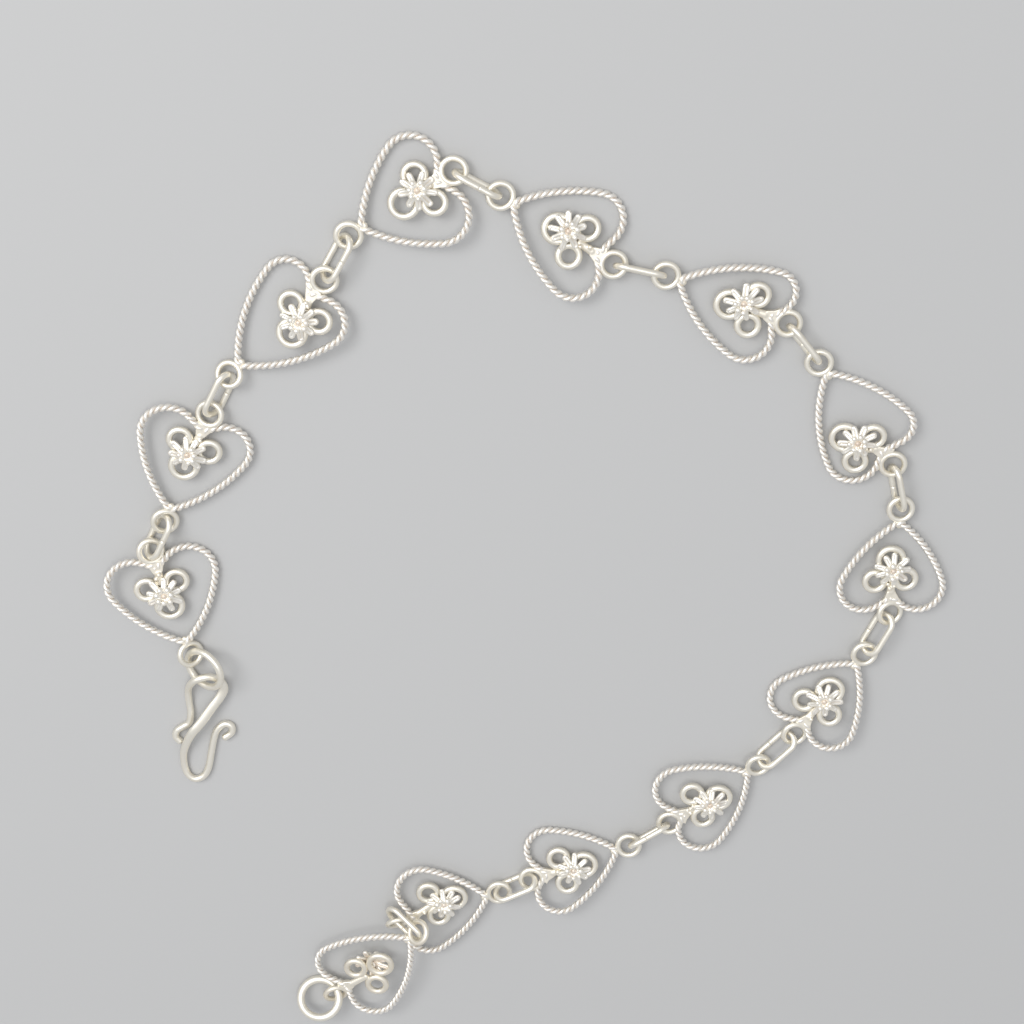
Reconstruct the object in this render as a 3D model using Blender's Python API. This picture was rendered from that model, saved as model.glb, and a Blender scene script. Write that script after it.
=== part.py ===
"""Heart link bracelet of silver wire, lying open on a flat surface.

Thirteen filigree hearts hang together by twelve oval jump links. Each heart is soldered into one
piece: a heart-shaped wire frame with an eye at its tip and an eye at its cleft, a solder plate
with a stem, three wire rings and a flower with a grain at its centre. A round jump ring at the
first heart holds an S-shaped wire hook, and a heavier ring ends the other side.

Metres, +Z up, the surface at z = 0. +X runs to the right along the open curve, +Y away from its
two ends, and the origin is the centre of the underside of the bracelet's box.
"""

from collections import namedtuple
from math import acos, asin, atan2, cos, hypot, pi, radians, sin, sqrt

import bmesh
import bpy
from mathutils import Matrix, Vector

MM = 0.001

# Sizes of one heart
HEART_PITCH = 10.0 * MM          # tip eye centre to cleft eye centre of a heart of share 1
HALF_WIDTH = 4.2 * MM            # middle line of the frame at the lobes
LOBE_SHARE = 0.476               # a lobe's radius as a share of its side's half width
LOBE_SETBACK = 2.5 * MM          # cleft eye centre back to the lobes' centres
SIDE_RADIUS = 12.0 * MM          # the slight bulge of the long sides
TIP_RADIUS = 0.45 * MM
FRAME_WIRE = 0.60 * MM           # over the two twisted strands
EYE_OUTER = 2.30 * MM
EYE_WIRE = 0.46 * MM
SOLDER_LAP = 0.25 * MM           # how far soldered wires run into each other

PLATE_HALF_WIDTH = 0.85 * MM
PLATE_DEPTH = 1.15 * MM          # from the plate's edge in the cleft eye's wire to the stem
PLATE_THICKNESS = 0.42 * MM
STEM_HALF_WIDTH = 0.38 * MM
STEM_LEAN = 0.35                 # how far the stem's start follows the rings to the side

RING_WIRE = 0.42 * MM
UPPER_RING_OUTER = 2.14 * MM
LOWER_RING_OUTER = 2.50 * MM
RING_SPREAD = 1.24 * MM          # upper rings' centres from the middle line
UPPER_RING_SETBACK = 3.0 * MM    # cleft eye centre back to the upper rings
RING_DROP = 1.88 * MM            # upper rings' centres to the lower ring's centre
LOWER_RING_LIFT = 0.05 * MM

FLOWER_OUTER = 2.9 * MM
FLOWER_INNER = 2.0 * MM          # between the petals
FLOWER_PETALS = 8
FLOWER_BASE = 0.08 * MM          # underside above the rings' middle plane
FLOWER_THICKNESS = 0.36 * MM
GRAIN_DIAMETER = 0.68 * MM

# Sizes of what joins the hearts
LINK_LENGTH = 4.20 * MM
LINK_WIDTH = 2.10 * MM
LINK_WIRE = 0.48 * MM
HOOK_RING_OUTER = 4.0 * MM
HOOK_WIRE = 0.58 * MM
HOOK_LENGTH = 10.4 * MM
END_RING_OUTER = 4.1 * MM
END_RING_WIRE = 0.70 * MM
CLEARANCE = 0.12 * MM            # between pieces that touch on the real bracelet

# The bunched end: the last link is drawn together and leans in the eye of the heart before it, and
# the last heart lies face down with its tip eye propped above that eye.
BUNCHED_EYE_HEIGHT = 0.86 * MM
BUNCHED_LINK_OFFSET = (0.56 * MM, 0.33 * MM, 0.76 * MM)
BUNCHED_LINK_HEADING = -39.0
BUNCHED_LINK_DIVE = -22.0
BUNCHED_LINK_ROLL = 37.0
LAST_TIP_OFFSET = (1.75 * MM, 0.06 * MM, 1.54 * MM)
LAST_CLEFT_HEIGHT = 0.97 * MM
LAST_ROLL = 3.0

# The two large rings and the hook, from the eyes that they hang in: offset of the centre, heading
# of the lifted side and tilt in degrees.
HOOK_RING_OFFSET = (1.10 * MM, -1.17 * MM, 0.0)
HOOK_RING_TOWARD = 14.6
HOOK_RING_TILT = 35.3
HOOK_TOP_RIGHT = 1.0 * MM
HOOK_TOP_BELOW = 1.95 * MM
END_RING_OFFSET = (-1.43 * MM, -0.44 * MM, 0.0)
END_RING_TOWARD = -83.0
END_RING_TILT = 25.8

# Facets
EYE_FACETS = 10
RING_FACETS = 10
LINK_END_FACETS = 5
LARGE_RING_FACETS = 14
WIRE_SIDES = 5
LARGE_WIRE_SIDES = 6

SILVER = (0.86, 0.84, 0.78, 1.0)
SILVER_ROUGHNESS = 0.3

# Each heart: heading from tip to cleft in degrees from +X, its pitch as a share of HEART_PITCH, the
# width of its right and left side as shares of HALF_WIDTH, how far back each lobe lies as a share of
# LOBE_SETBACK, the rings' place across and along as shares of HALF_WIDTH and their turn, its roll as
# a share of the angle at which a lobe meets the surface, the turn of its two eyes, and the flower's
# place from the middle between the upper rings as shares of HALF_WIDTH.
Heart = namedtuple(
    "Heart",
    "heading pitch right left right_back left_back across along turn roll tip_turn cleft_turn"
    " flower_across flower_along",
)
HEARTS = [
    Heart(105.5, 0.968, 1.05, 1.05, 1.00, 0.99, -0.04, -0.02, 1, 0.7, 26, 12, -0.01, -0.18),
    Heart(66.0, 0.993, 0.98, 1.08, 0.96, 1.08, -0.04, 0.02, -4, 0.5, 12, -14, -0.05, -0.18),
    Heart(45.0, 1.064, 0.94, 0.86, 1.05, 0.87, 0.17, 0.03, 12, -0.9, -14, 10, 0.00, -0.19),
    Heart(32.0, 0.923, 1.05, 0.99, 1.03, 0.95, 0.00, 0.11, 4, -0.9, 10, 0, -0.06, -0.10),
    Heart(-32.0, 1.000, 0.96, 1.00, 0.89, 1.17, -0.01, -0.05, -2, -0.9, 0, 0, -0.08, -0.28),
    Heart(-22.0, 1.020, 0.97, 0.83, 1.01, 0.82, 0.01, 0.01, 7, 0.1, 0, 0, -0.11, -0.22),
    Heart(-53.0, 1.068, 1.01, 0.81, 0.92, 1.16, 0.26, 0.13, 23, 0.75, 0, 0, -0.07, -0.21),
    Heart(-90.5, 0.929, 1.03, 0.98, 0.94, 0.90, 0.06, 0.00, 4, -0.15, 0, -12, -0.03, -0.25),
    Heart(-125.0, 0.922, 0.97, 0.94, 1.02, 0.88, 0.01, -0.01, 4, 0.9, -12, -14, -0.01, -0.23),
    Heart(-142.0, 0.926, 1.01, 1.00, 1.03, 0.72, -0.01, 0.02, -14, 0.0, -14, 0, -0.03, -0.25),
    Heart(-158.0, 0.896, 0.95, 0.94, 0.96, 0.71, -0.05, 0.04, -3, 0.9, 0, 0, -0.01, -0.23),
    Heart(-161.0, 0.930, 1.10, 0.92, 1.23, 0.87, 0.19, -0.13, 2, 0.0, 0, -42, -0.02, -0.23),
    Heart(-134.5, 1.070, 1.00, 0.96, 1.00, 1.10, 0.10, -0.14, -3, 0.0, 48, -27, -0.10, -0.28),
]
FACE_DOWN = len(HEARTS)          # the last heart lies on its flower

# Each link: its heading, the distance between the two eyes that it joins as a share of its middle
# line's length, and its roll in degrees, 90 standing on edge and positive with its left side up.
Link = namedtuple("Link", "heading span roll")
LINKS = [
    Link(63.5, 0.79, -52),
    Link(63.0, 0.99, 48),
    Link(61.0, 1.06, -56),
    Link(-28.5, 1.06, -90),
    Link(-12.5, 1.10, 72),
    Link(-51.0, 1.11, 76),
    Link(-76.0, 1.08, 75),
    Link(-115.0, 1.13, 50),
    Link(-133.0, 1.13, 48),
    Link(-146.5, 1.11, -66),
    Link(-154.0, 0.84, 65),
]

# The hook's middle line from its curl to its free end, as shares of HOOK_LENGTH across and along,
# and its level in wire thicknesses above the surface.
HOOK_LINE = [
    (-0.234, -0.640, 0.00), (-0.268, -0.591, 0.00), (-0.253, -0.536, 0.00), (-0.200, -0.498, 0.00),
    (-0.153, -0.463, 0.00), (-0.135, -0.370, 0.00), (-0.142, -0.272, 0.00), (-0.139, -0.160, 0.35),
    (-0.112, -0.078, 1.00), (-0.054, -0.015, 1.53), (0.040, 0.005, 1.40), (0.114, -0.041, 0.95),
    (0.145, -0.118, 0.60), (0.116, -0.200, 0.60), (0.037, -0.305, 0.85), (-0.050, -0.424, 1.15),
    (-0.120, -0.509, 1.20), (-0.174, -0.615, 0.75), (-0.212, -0.736, 0.25), (-0.215, -0.868, 0.00),
    (-0.188, -0.954, 0.00), (-0.133, -0.992, 0.00), (-0.067, -0.964, 0.00), (-0.024, -0.885, 0.00),
    (0.006, -0.748, 0.00), (0.038, -0.603, 0.00), (0.072, -0.524, 0.00), (0.130, -0.479, 0.00),
    (0.180, -0.498, 0.00), (0.180, -0.558, 0.00), (0.118, -0.609, 0.00),
]

EYE_RADIUS = (EYE_OUTER - EYE_WIRE) / 2
EYE_HEIGHT = LINK_WIRE + CLEARANCE + EYE_WIRE / 2
HOOK_RING_RADIUS = (HOOK_RING_OUTER - HOOK_WIRE) / 2
END_RING_RADIUS = (END_RING_OUTER - END_RING_WIRE) / 2
LINK_REACH = LINK_LENGTH - LINK_WIRE
LINK_SPREAD = LINK_WIDTH - LINK_WIRE


def clear_scene():
    for item in list(bpy.data.objects):
        bpy.data.objects.remove(item)


def silver(name):
    material = bpy.data.materials.new(name)
    material.use_nodes = True
    shader = material.node_tree.nodes["Principled BSDF"]
    shader.inputs["Base Color"].default_value = SILVER
    shader.inputs["Metallic"].default_value = 1.0
    shader.inputs["Roughness"].default_value = SILVER_ROUGHNESS
    return material


def circle_line(radius, facets):
    return [
        Vector((radius * cos(2 * pi * step / facets), radius * sin(2 * pi * step / facets), 0.0))
        for step in range(facets)
    ]


def arc_points(centre_x, centre_y, radius, start, end, steps):
    return [
        (
            centre_x + radius * cos(start + (end - start) * step / steps),
            centre_y + radius * sin(start + (end - start) * step / steps),
        )
        for step in range(steps + 1)
    ]


def half_outline(pitch, half_width, setback):
    """Right half of the frame's middle line: tip arc, long side, lobe and the cleft's point."""
    lobe_radius = LOBE_SHARE * half_width
    lobe_x = half_width - lobe_radius
    lobe_y = pitch - setback
    tip_y = EYE_OUTER / 2 + FRAME_WIRE / 2 - SOLDER_LAP + TIP_RADIUS
    lobe_reach = SIDE_RADIUS - lobe_radius
    tip_reach = SIDE_RADIUS - TIP_RADIUS
    apart = hypot(lobe_x, lobe_y - tip_y)
    along = (lobe_reach**2 - tip_reach**2 + apart**2) / (2 * apart)
    off = sqrt(lobe_reach**2 - along**2)
    down_x = -lobe_x / apart
    down_y = (tip_y - lobe_y) / apart
    side_x = lobe_x + along * down_x + off * down_y
    side_y = lobe_y + along * down_y - off * down_x
    tip_angle = atan2(tip_y - side_y, -side_x)
    lobe_angle = atan2(lobe_y - side_y, lobe_x - side_x)
    cleft_y = pitch - EYE_OUTER / 2 - FRAME_WIRE / 2
    cleft_reach = hypot(lobe_x, cleft_y - lobe_y)
    lobe_end = atan2(cleft_y - lobe_y, -lobe_x) - acos(lobe_radius / cleft_reach)
    points = arc_points(0.0, tip_y, TIP_RADIUS, -pi / 2, tip_angle, 1)
    points += arc_points(side_x, side_y, SIDE_RADIUS, tip_angle, lobe_angle, 3)[1:]
    points += arc_points(lobe_x, lobe_y, lobe_radius, lobe_angle, lobe_end, 6)[1:]
    points.append((0.0, cleft_y))
    return points


def frame_line(heart):
    pitch = heart.pitch * HEART_PITCH
    right = half_outline(pitch, heart.right * HALF_WIDTH, heart.right_back * LOBE_SETBACK)
    left = half_outline(pitch, heart.left * HALF_WIDTH, heart.left_back * LOBE_SETBACK)
    outline = right + [(-x, y) for x, y in left[-2:0:-1]]
    return [Vector((x, y, 0.0)) for x, y in outline]


def link_line():
    """Middle line of an oval link, its length along X."""
    end_radius = LINK_SPREAD / 2
    straight = (LINK_REACH - LINK_SPREAD) / 2
    right = arc_points(straight, 0.0, end_radius, -pi / 2, pi / 2, LINK_END_FACETS)
    left = arc_points(-straight, 0.0, end_radius, pi / 2, 3 * pi / 2, LINK_END_FACETS)
    return [Vector((x, y, 0.0)) for x, y in right + left]


def hook_line():
    level = HOOK_WIRE + CLEARANCE
    return [
        Vector((x * HOOK_LENGTH, y * HOOK_LENGTH, HOOK_WIRE / 2 + z * level)) for x, y, z in HOOK_LINE
    ]


def wire_mesh(name, line, wire, sides, closed=True):
    """A round wire along a line, mitred so that it keeps its thickness at each bend."""
    count = len(line)
    radius = wire / 2
    vertices = []
    up = Vector((0.0, 0.0, 1.0))
    for index, point in enumerate(line):
        before = line[index - 1] if closed or index > 0 else point * 2 - line[1]
        after = line[(index + 1) % count] if closed or index < count - 1 else point * 2 - line[-2]
        arriving = (point - before).normalized()
        leaving = (after - point).normalized()
        tangent = (arriving + leaving).normalized()
        bend = leaving - arriving
        up = (up - tangent * up.dot(tangent)).normalized()
        across = tangent.cross(up)
        for side in range(sides):
            angle = 2 * pi * side / sides
            offset = radius * (up * cos(angle) + across * sin(angle))
            if bend.length > 1e-6:
                inward = bend.normalized()
                offset += inward * offset.dot(inward) * (1 / tangent.dot(arriving) - 1)
            vertices.append(point + offset)
    spans = count if closed else count - 1
    faces = [
        (
            span * sides + side,
            span * sides + (side + 1) % sides,
            (span + 1) % count * sides + (side + 1) % sides,
            (span + 1) % count * sides + side,
        )
        for span in range(spans)
        for side in range(sides)
    ]
    if not closed:
        faces.append(tuple(reversed(range(sides))))
        faces.append(tuple(range((count - 1) * sides, count * sides)))
    mesh = bpy.data.meshes.new(name)
    mesh.from_pydata([tuple(vertex) for vertex in vertices], [], faces)
    mesh.update()
    return mesh


def plate_mesh(name, outline, bottom, top):
    """A flat plate with the given outline, counter-clockwise seen from above."""
    count = len(outline)
    vertices = [(x, y, bottom) for x, y in outline] + [(x, y, top) for x, y in outline]
    faces = [tuple(reversed(range(count))), tuple(range(count, 2 * count))]
    faces += [(i, (i + 1) % count, (i + 1) % count + count, i + count) for i in range(count)]
    mesh = bpy.data.meshes.new(name)
    mesh.from_pydata(vertices, [], faces)
    mesh.update()
    return mesh


def grain_mesh(name, diameter):
    shape = bpy.data.meshes.new(name)
    grain = bmesh.new()
    bmesh.ops.create_uvsphere(grain, u_segments=8, v_segments=4, radius=diameter / 2)
    grain.to_mesh(shape)
    grain.free()
    return shape


def flower_outline():
    points = []
    for step in range(2 * FLOWER_PETALS):
        radius = (FLOWER_INNER if step % 2 else FLOWER_OUTER) / 2
        angle = pi / 2 + pi * step / FLOWER_PETALS
        points.append((radius * cos(angle), radius * sin(angle)))
    return points


def solder(name, pieces, material):
    """Join overlapping pieces, each a mesh and its place, into one solid body."""
    joined = []
    for index, (mesh, place) in enumerate(pieces):
        mesh.transform(place)
        item = bpy.data.objects.new(f"{name}_{index}", mesh)
        bpy.context.scene.collection.objects.link(item)
        joined.append(item)
    for other in joined[1:]:
        union = joined[0].modifiers.new("union", "BOOLEAN")
        union.operation = "UNION"
        union.solver = "EXACT"
        union.object = other
    bpy.context.view_layer.update()
    graph = bpy.context.evaluated_depsgraph_get()
    body = bpy.data.meshes.new_from_object(joined[0].evaluated_get(graph))
    for item in joined:
        bpy.data.objects.remove(item)
    return add_solid(name, body, material)


def add_solid(name, mesh, material):
    mesh.name = name
    mesh.materials.clear()
    mesh.materials.append(material)
    solid = bpy.data.objects.new(name, mesh)
    bpy.context.scene.collection.objects.link(solid)
    return solid


def build_heart(name, heart, material):
    """One heart with its tip eye's centre at the origin, the cleft eye along +Y, flower up."""
    pitch = heart.pitch * HEART_PITCH
    across = heart.across * HALF_WIDTH
    upper_y = pitch - UPPER_RING_SETBACK + heart.along * HALF_WIDTH
    plate_y = pitch - EYE_RADIUS
    stem_y = plate_y - PLATE_DEPTH
    stem_x = STEM_LEAN * across
    plate = [
        (-PLATE_HALF_WIDTH, plate_y),
        (stem_x - STEM_HALF_WIDTH, stem_y),
        (across - STEM_HALF_WIDTH, upper_y),
        (across + STEM_HALF_WIDTH, upper_y),
        (stem_x + STEM_HALF_WIDTH, stem_y),
        (PLATE_HALF_WIDTH, plate_y),
    ]
    eye_turn = Matrix.Rotation(pi / EYE_FACETS, 4, "Z")
    tip_turn = Matrix.Rotation(radians(heart.tip_turn), 4, "Y")
    cleft_turn = Matrix.Rotation(radians(heart.cleft_turn), 4, "Y")
    cleft_place = Matrix.Translation((0.0, pitch, 0.0))
    rings_place = Matrix.Translation((across, upper_y, 0.0)) @ Matrix.Rotation(
        radians(heart.turn), 4, "Z"
    )
    flower_place = rings_place @ Matrix.Translation(
        (heart.flower_across * HALF_WIDTH, heart.flower_along * HALF_WIDTH, 0.0)
    )
    eye = circle_line(EYE_RADIUS, EYE_FACETS)
    upper = circle_line((UPPER_RING_OUTER - RING_WIRE) / 2, RING_FACETS)
    lower = circle_line((LOWER_RING_OUTER - RING_WIRE) / 2, RING_FACETS)
    flower_top = FLOWER_BASE + FLOWER_THICKNESS
    pieces = [
        (wire_mesh("frame", frame_line(heart), FRAME_WIRE, WIRE_SIDES), Matrix.Identity(4)),
        (wire_mesh("tip eye", eye, EYE_WIRE, WIRE_SIDES), tip_turn @ eye_turn),
        (wire_mesh("cleft eye", eye, EYE_WIRE, WIRE_SIDES), cleft_place @ cleft_turn @ eye_turn),
        (
            plate_mesh("plate", plate, -PLATE_THICKNESS / 2, PLATE_THICKNESS / 2),
            Matrix.Identity(4),
        ),
        (
            wire_mesh("left ring", upper, RING_WIRE, WIRE_SIDES),
            rings_place @ Matrix.Translation((-RING_SPREAD, 0.0, 0.0)),
        ),
        (
            wire_mesh("right ring", upper, RING_WIRE, WIRE_SIDES),
            rings_place @ Matrix.Translation((RING_SPREAD, 0.0, 0.0)),
        ),
        (
            wire_mesh("lower ring", lower, RING_WIRE, WIRE_SIDES),
            rings_place @ Matrix.Translation((0.0, -RING_DROP, LOWER_RING_LIFT)),
        ),
        (plate_mesh("flower", flower_outline(), FLOWER_BASE, flower_top), flower_place),
        (
            grain_mesh("grain", GRAIN_DIAMETER),
            flower_place @ Matrix.Translation((0.0, 0.0, flower_top)),
        ),
    ]
    return solder(name, pieces, material)


def heading_step(degrees, length):
    return Vector((length * cos(radians(degrees)), length * sin(radians(degrees)), 0.0))


def tilted(toward, tilt):
    """A ring's turn when its side toward a heading, in degrees, is lifted by a tilt."""
    return (
        Matrix.Rotation(radians(toward), 4, "Z")
        @ Matrix.Rotation(-radians(tilt), 4, "Y")
        @ Matrix.Rotation(-radians(toward), 4, "Z")
    )


def heart_turn(heart, rise):
    reach = HALF_WIDTH * max(heart.right, heart.left)
    roll = heart.roll * asin((EYE_HEIGHT - FRAME_WIRE / 2) / reach)
    return (
        Matrix.Rotation(radians(heart.heading - 90.0), 4, "Z")
        @ Matrix.Rotation(rise, 4, "X")
        @ Matrix.Rotation(roll, 4, "Y")
    )


def place_chain(material):
    """Hearts and links in order along the curve, up to the heart before the bunched link."""
    solids = []
    cleft_eyes = []
    tip = Vector((0.0, 0.0, EYE_HEIGHT))
    for index, heart in enumerate(HEARTS[: FACE_DOWN - 1]):
        pitch = heart.pitch * HEART_PITCH
        lifted = index == FACE_DOWN - 2
        rise = asin((BUNCHED_EYE_HEIGHT - EYE_HEIGHT) / pitch) if lifted else 0.0
        turn = heart_turn(heart, rise)
        solid = build_heart(f"heart_{index + 1:02d}", heart, material)
        solid.matrix_world = Matrix.Translation(tip) @ turn
        solids.append(solid)
        cleft = tip + turn @ Vector((0.0, pitch, 0.0))
        cleft_eyes.append(cleft)
        if index == len(LINKS):
            break
        link = LINKS[index]
        next_tip = cleft + heading_step(link.heading, link.span * LINK_REACH)
        name = f"link_{index + 1:02d}"
        oval = add_solid(name, wire_mesh(name, link_line(), LINK_WIRE, WIRE_SIDES), material)
        middle = (cleft + next_tip) / 2
        middle.z = LINK_WIRE / 2 + LINK_SPREAD / 2 * abs(sin(radians(link.roll)))
        oval.matrix_world = (
            Matrix.Translation(middle)
            @ Matrix.Rotation(radians(link.heading), 4, "Z")
            @ Matrix.Rotation(radians(link.roll), 4, "X")
        )
        solids.append(oval)
        tip = next_tip
    return solids, cleft_eyes


def place_bunched_end(cleft, material):
    """The last link, drawn together, and the last heart, which lies face down over it."""
    name = f"link_{len(LINKS) + 1:02d}"
    oval = add_solid(name, wire_mesh(name, link_line(), LINK_WIRE, WIRE_SIDES), material)
    oval.matrix_world = (
        Matrix.Translation(cleft + Vector(BUNCHED_LINK_OFFSET))
        @ Matrix.Rotation(radians(BUNCHED_LINK_HEADING), 4, "Z")
        @ Matrix.Rotation(radians(BUNCHED_LINK_DIVE), 4, "Y")
        @ Matrix.Rotation(radians(BUNCHED_LINK_ROLL), 4, "X")
    )
    heart = HEARTS[-1]
    pitch = heart.pitch * HEART_PITCH
    tip = cleft + Vector(LAST_TIP_OFFSET)
    rise = asin((LAST_CLEFT_HEIGHT - tip.z) / pitch)
    turn = (
        Matrix.Rotation(radians(heart.heading - 90.0), 4, "Z")
        @ Matrix.Rotation(rise, 4, "X")
        @ Matrix.Rotation(pi + radians(LAST_ROLL), 4, "Y")
    )
    solid = build_heart(f"heart_{FACE_DOWN:02d}", heart, material)
    solid.matrix_world = Matrix.Translation(tip) @ turn
    return [oval, solid], tip + turn @ Vector((0.0, pitch, 0.0))


def place_ring(name, eye, offset, radius, wire, toward, tilt, material):
    """A round ring through an eye: one side rests on the surface and the other is lifted."""
    line = circle_line(radius, LARGE_RING_FACETS)
    ring = add_solid(name, wire_mesh(name, line, wire, LARGE_WIRE_SIDES), material)
    centre = eye + Vector(offset)
    centre.z = wire / 2 + radius * sin(radians(tilt))
    ring.matrix_world = Matrix.Translation(centre) @ tilted(toward, tilt)
    return ring


def place_hook(tip, material):
    hook = add_solid(
        "s_hook", wire_mesh("s_hook", hook_line(), HOOK_WIRE, WIRE_SIDES, closed=False), material
    )
    hook.location = (tip.x + HOOK_TOP_RIGHT, tip.y - HOOK_TOP_BELOW, 0.0)
    return hook


def gather(solids):
    """Bring the box's bottom centre to the origin by one empty that holds all the pieces."""
    bpy.context.view_layer.update()
    corners = [solid.matrix_world @ vertex.co for solid in solids for vertex in solid.data.vertices]
    lows = [min(corner[axis] for corner in corners) for axis in range(3)]
    highs = [max(corner[axis] for corner in corners) for axis in range(3)]
    holder = bpy.data.objects.new("bracelet", None)
    bpy.context.scene.collection.objects.link(holder)
    holder.location = (-(lows[0] + highs[0]) / 2, -(lows[1] + highs[1]) / 2, -lows[2])
    for solid in solids:
        solid.parent = holder


clear_scene()
silver_material = silver("silver")
chain, cleft_centres = place_chain(silver_material)
bunched, last_cleft = place_bunched_end(cleft_centres[-1], silver_material)
first_tip = Vector((0.0, 0.0, EYE_HEIGHT))
hook_ring = place_ring(
    "hook_ring", first_tip, HOOK_RING_OFFSET, HOOK_RING_RADIUS, HOOK_WIRE,
    HOOK_RING_TOWARD, HOOK_RING_TILT, silver_material,
)
end_ring = place_ring(
    "end_ring", last_cleft, END_RING_OFFSET, END_RING_RADIUS, END_RING_WIRE,
    END_RING_TOWARD, END_RING_TILT, silver_material,
)
hook = place_hook(first_tip, silver_material)
gather([*chain, *bunched, hook_ring, end_ring, hook])
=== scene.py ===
"""Looks of the heart link bracelet: twisted frames, wire rings, flowers, solder, links and hook.

Shapes are made in millimetres, from the same sizes as the part's source, and placed in metres at
the end. Angles are in degrees.
"""

from collections import namedtuple
from math import acos, asin, atan2, cos, floor, hypot, pi, radians, sin, sqrt
from random import Random

import bpy
from mathutils import Matrix, Vector


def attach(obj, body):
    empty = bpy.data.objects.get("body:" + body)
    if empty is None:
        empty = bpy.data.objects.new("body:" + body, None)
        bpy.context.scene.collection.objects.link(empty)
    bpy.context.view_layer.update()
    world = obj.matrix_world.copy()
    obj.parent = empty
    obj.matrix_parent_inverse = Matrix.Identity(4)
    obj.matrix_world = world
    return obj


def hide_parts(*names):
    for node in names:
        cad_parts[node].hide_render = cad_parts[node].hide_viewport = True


MM = 0.001
SEED = 7

# One heart's frame, its two eyes and its trefoil of rings
HEART_PITCH = 10.0
HALF_WIDTH = 4.2
LOBE_SHARE = 0.476               # a lobe's radius as a share of its side's half width
LOBE_SETBACK = 2.5
SIDE_RADIUS = 12.0
TIP_RADIUS = 0.45
CLEFT_HALF_GAP = 0.06            # half of what is left between the frame's two ends
FRAME_WIRE = 0.60
TWIST_PITCH = 1.10               # one full turn of the two strands
STRAND_RADIUS = 0.160
STRAND_OFFSET = 0.148            # strand's middle line from the frame's middle line
EYE_OUTER = 2.30
EYE_WIRE = 0.46
RING_WIRE = 0.54
UPPER_RING_OUTER = 2.14
LOWER_RING_OUTER = 2.50
RING_SPREAD = 1.24
UPPER_RING_SETBACK = 3.0
RING_DROP = 1.88
LOWER_RING_LIFT = 0.05

# The flower. Heights are over the rings' middle plane, and a pair named VARIES is the least and the
# most that is added to a size, petal by petal.
PETALS = 9
PETAL_TURN_VARIES = (-0.09, 0.09)    # in radians
PETAL_REACH = 1.40               # middle line of a petal's outer end from the flower's middle
PETAL_REACH_VARIES = (-0.12, 0.08)
PETAL_HALF_WIDTH = 0.105
PETAL_WIDTH_VARIES = (-0.02, 0.03)
PETAL_WIRE = 0.31
PETAL_CREST = 0.60               # highest point of a petal's wire
PETAL_CREST_VARIES = (-0.10, 0.10)
PETAL_END = 0.24                 # height of a petal's outer end
PETAL_END_VARIES = (-0.03, 0.08)
PETAL_END_RISE = 0.04            # from the outer end back to where its bend begins
PETAL_BEND_SHARE = 1.6           # where the bend begins, in half widths from the outer end
PETAL_RETURN_DROP = 0.03         # the wire comes back this much lower than it went out
CORE_RING_RADIUS = 0.30
CORE_RING_WIRE = 0.20
CORE_RING_HEIGHT = 0.25
CORE_RADIUS = 0.253
CORE_HEIGHT = 0.52
GRAINS = 7                       # in the ring round the flower's middle
GRAIN_RADIUS = 0.23
GRAIN_RADIUS_SHARES = (0.85, 1.15)
GRAIN_REACH = 0.60
GRAIN_REACH_SHARES = (0.88, 1.12)
GRAIN_TURN_VARIES = (-0.15, 0.15)    # in radians
GRAIN_RISE = (0.08, 0.18)        # over the petals' crest

# Where a petal's wire runs on one side, from the flower's middle: how far out, the share of the
# petal's half width, the shares of its crest's and its end's height, and what is added to them
PetalKnot = namedtuple("PetalKnot", "along spread crest end rise")
PETAL_SIDE = [
    PetalKnot(0.20, 0.35, 0.0, 0.0, 0.22),
    PetalKnot(0.30, 0.55, 1.0, 0.0, -0.08),
    PetalKnot(0.44, 0.85, 1.0, 0.0, 0.00),
    PetalKnot(0.62, 1.00, 1.0, 0.0, -0.07),
    PetalKnot(0.85, 1.00, 0.5, 0.5, -0.02),
]

# Solder at the tip, and the plate, stem and granules in the cleft
SOLDER_LAP = 0.25                # how far soldered wires run into each other
SOLDER_VOXEL = 0.04              # the finest form that is left when it has flowed
SOLDER_SOFTENING = 10
SOLDER_FLATNESS = 0.75
TIP_SOLDER_RADIUS = 0.24
TIP_SOLDER_SPREAD = 0.16
TIP_SOLDER_LENGTH = 0.25
TIP_SOLDER_END_RADIUS = 0.30
PLATE_DEPTH = 1.05               # from the cleft eye's wire to the waist
PLATE_BOTTOM = -0.18
PLATE_TOP = 0.20
PLATE_SHOULDER = (0.60, -0.46)   # half width, and place along from the cleft eye's wire
PLATE_CORNER = (0.86, -0.18)
PLATE_EDGE = (0.55, 0.02)
WAIST_HALF_WIDTH = 0.36
STEM_LEAN = 0.35                 # how far the stem's start follows the rings to the side
STEM_END_RADIUS = 0.30
STEM_LAP = 0.1                   # the stem's end, past the middle between the upper rings
STEM_ARM = Vector((0.5, -0.05, 0.0))    # from the stem's end to each upper ring
STEM_ARM_RADIUS = 0.25
STEM_ARM_END_RADIUS = 0.22
GRANULE_COUNTS = (1, 2, 2, 3)
GRANULE_PLACES = (0.0, 0.9)      # shares of the way along the stem
GRANULE_SIDES = (-0.26, 0.26)
GRANULE_HEIGHT = 0.24
GRANULE_RADII = (0.16, 0.23)

# What joins the hearts
LINK_LENGTH = 4.20
LINK_WIDTH = 2.10
LINK_WIRE = 0.48
LINK_CUT_PLACE = 0.15            # along its side from the middle
HOOK_RING_OUTER = 4.0
HOOK_WIRE = 0.58
HOOK_LENGTH = 10.4
END_RING_OUTER = 4.1
END_RING_WIRE = 0.70
CLEARANCE = 0.12
CUT_HALF_GAP = 0.03              # half of what is left between a link's two cut ends

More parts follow.
